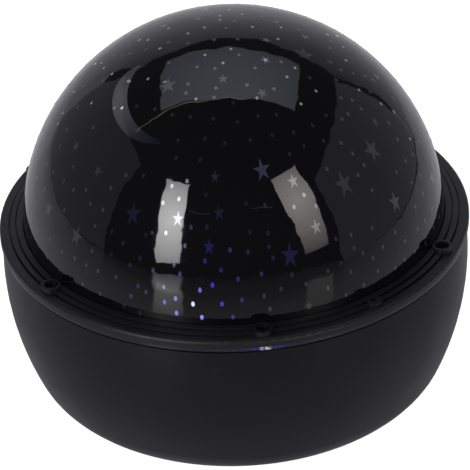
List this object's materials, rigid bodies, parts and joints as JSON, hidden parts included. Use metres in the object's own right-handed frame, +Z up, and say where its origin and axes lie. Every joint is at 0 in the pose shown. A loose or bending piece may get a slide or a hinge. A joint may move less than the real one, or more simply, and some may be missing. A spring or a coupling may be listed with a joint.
{
  "type": "planetarium projector",
  "caption": "Tabletop star projector: a black bowl with a lamp inside and a printed star dome that turns on a geared ring.",
  "frame": {"origin": "on the floor, under the middle of the bowl (the dome's turning axis)", "axes": "+Z up along the dome's turning axis, -Y to the front (the side in the picture), +Y to the switch, +X to the right seen from the front"},
  "size_m": [0.146, 0.146, 0.1221],
  "materials": {
    "black_shell": "satin, fine-grained moulded plastic",
    "dome_print": "high gloss, black print with clear stars",
    "inner_white": "plain moulded plastic",
    "gear_plastic": "plain, slightly waxy",
    "box_black": "plain moulded plastic",
    "gearbox_yellow": "plain moulded plastic",
    "foot_rubber": "matt",
    "screw_steel": "zinc plated",
    "spring_steel": "nickel plated",
    "motor_steel": "drawn can",
    "board_green": "solder mask",
    "led_lens": "water clear",
    "chip_black": "plain",
    "cell_jacket": "plain jacket",
    "switch_black": "plain",
    "wire_red": "insulated wire",
    "wire_black": "insulated wire"
  },
  "bodies": {
    "base": {"bowl_shell": "black_shell", "rubber_feet": "foot_rubber", "race_ring": "inner_white", "race_screws": "screw_steel", "deck": "inner_white", "deck_screws": "screw_steel", "led_board": "board_green", "leds": "led_lens", "control_board": "board_green", "control_parts": "chip_black", "board_screws": "screw_steel", "gearbox_case": "gearbox_yellow", "gearbox_screws": "screw_steel", "motor_can": "motor_steel", "battery_box": "box_black", "battery_box_screws": "screw_steel", "battery_cells": "cell_jacket", "contact_plates": "spring_steel", "contact_springs": "spring_steel", "switch_body": "box_black", "switch_screws": "screw_steel", "battery_leads": "wire_red", "switch_lead": "wire_black", "motor_leads": "wire_red", "led_leads": "wire_black"},
    "dome_turntable": {"star_dome": "dome_print", "bezel_ring": "black_shell", "bezel_screws": "screw_steel", "locating_pins": "inner_white", "turntable_ring": "gear_plastic"},
    "drive_shaft": {"output_shaft": "screw_steel", "drive_pinion": "gear_plastic"},
    "switch_knob": {"switch_knob": "switch_black"},
    "battery_door": {"battery_door": "black_shell", "door_screw": "screw_steel"}
  },
  "joints": [
    {"name": "dome_spin", "type": "hinge", "parent": "base", "child": "dome_turntable", "pos_m": [0, 0, 0.0454], "axis": [0, 0, 1], "continuous": true},
    {"name": "pinion_spin", "type": "hinge", "parent": "base", "child": "drive_shaft", "pos_m": [0, 0.0525, 0.05], "axis": [0, 0, 1], "continuous": true},
    {"name": "switch_slide", "type": "slide", "parent": "base", "child": "switch_knob", "axis": [1, 0, 0], "range_m": [-0.003, 0.003]},
    {"name": "door_hinge", "type": "hinge", "parent": "base", "child": "battery_door", "pos_m": [0, -0.0281, 0.0039], "axis": [-1, 0, 0], "range_deg": [0, 35]}
  ],
  "couplings": [
    {"joint": "pinion_spin", "follows": "dome_spin", "ratio": 8}
  ]
}
